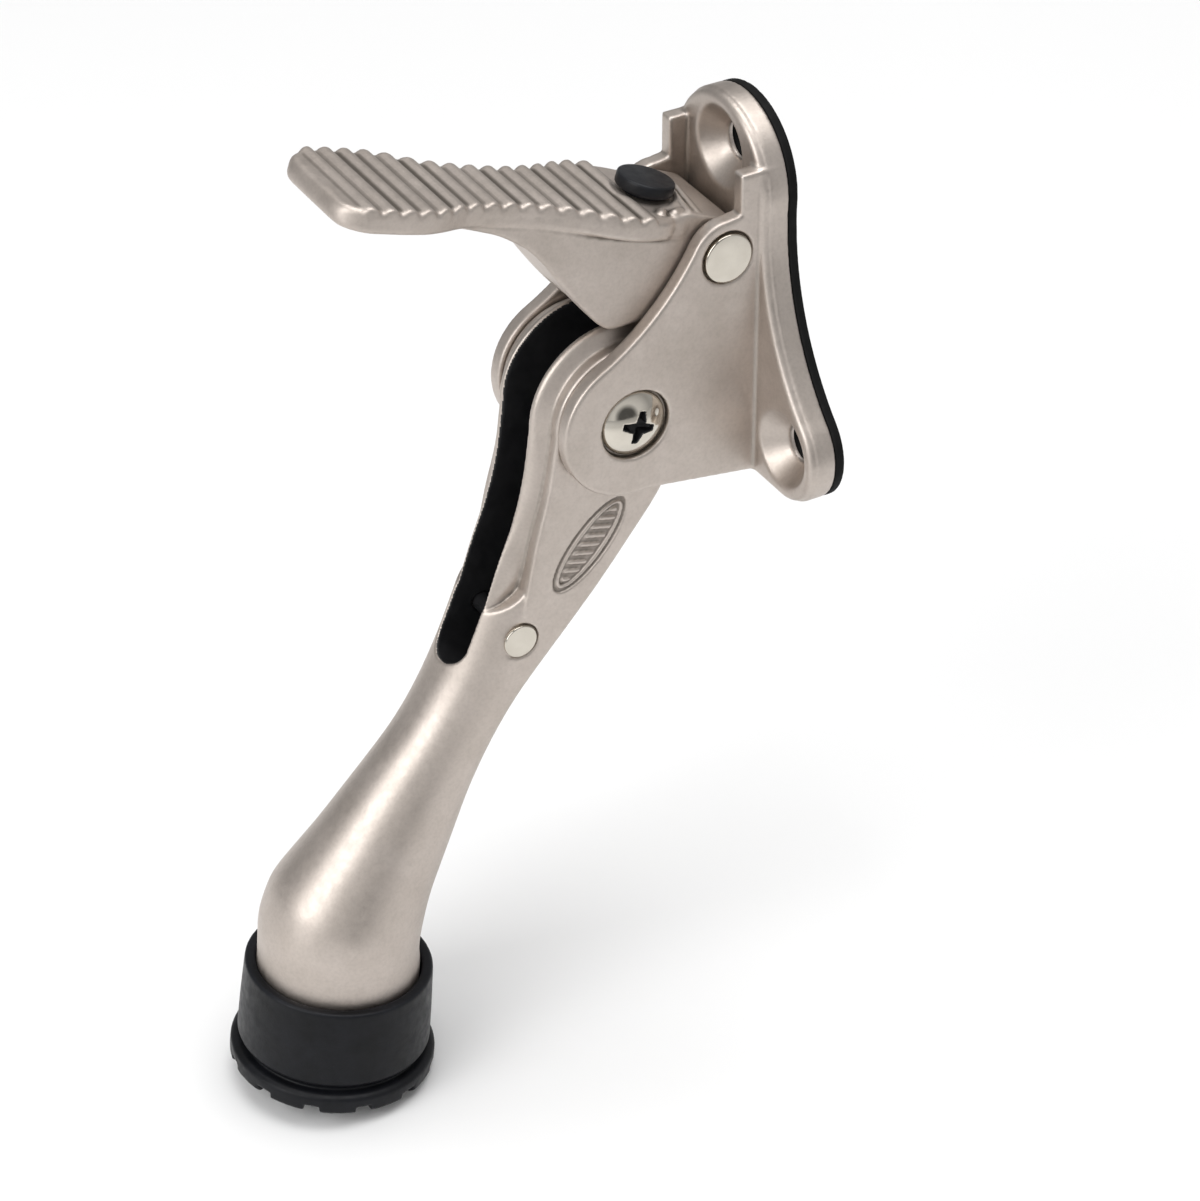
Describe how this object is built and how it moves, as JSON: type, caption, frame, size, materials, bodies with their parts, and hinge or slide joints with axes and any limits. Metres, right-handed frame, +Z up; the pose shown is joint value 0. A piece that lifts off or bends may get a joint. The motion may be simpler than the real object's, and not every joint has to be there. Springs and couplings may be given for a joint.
{
  "type": "floor door holder",
  "caption": "Kick-down door holder: a sprung arm with a rubber tip swings from a screw-on base, and a ribbed foot pedal releases it.",
  "frame": {"origin": "on the door face (the gasket's back), on the mid-plane, level with the two lower screw holes", "axes": "+X out from the door, +Y to the side that shows the screw head, +Z up"},
  "size_m": [0.0889, 0.0534, 0.1543],
  "materials": {
    "nickel_cast": "satin nickel on a zinc casting",
    "polished_steel": "polished nickel",
    "zinc_steel": "zinc plated",
    "spring_steel": "drawn wire",
    "nylon": "plain",
    "gasket_rubber": "matt",
    "bumper_rubber": "matt",
    "tip_rubber": "matt"
  },
  "bodies": {
    "base": {"base_bracket": "nickel_cast", "door_gasket": "gasket_rubber", "pivot_screw": "polished_steel", "pivot_nut": "zinc_steel", "pivot_bush": "zinc_steel", "washer_right": "nylon", "washer_left": "nylon", "pedal_rivet": "polished_steel", "rivet_washer": "zinc_steel"},
    "arm": {"arm": "nickel_cast", "rubber_tip": "tip_rubber", "spring_pin": "polished_steel", "main_spring": "spring_steel"},
    "pedal": {"foot_pedal": "nickel_cast", "pedal_bumper": "bumper_rubber"}
  },
  "joints": [
    {"name": "arm_swing", "type": "hinge", "parent": "base", "child": "arm", "pos_m": [0.0257, 0, 0.0065], "axis": [0, -1, 0], "range_deg": [-8, 94]},
    {"name": "pedal_tilt", "type": "hinge", "parent": "base", "child": "pedal", "pos_m": [0.0108, 0, 0.0297], "axis": [0, -1, 0], "range_deg": [-4, 50], "stiffness_Nm_per_rad": 0.6, "springref_deg": 1.72}
  ]
}
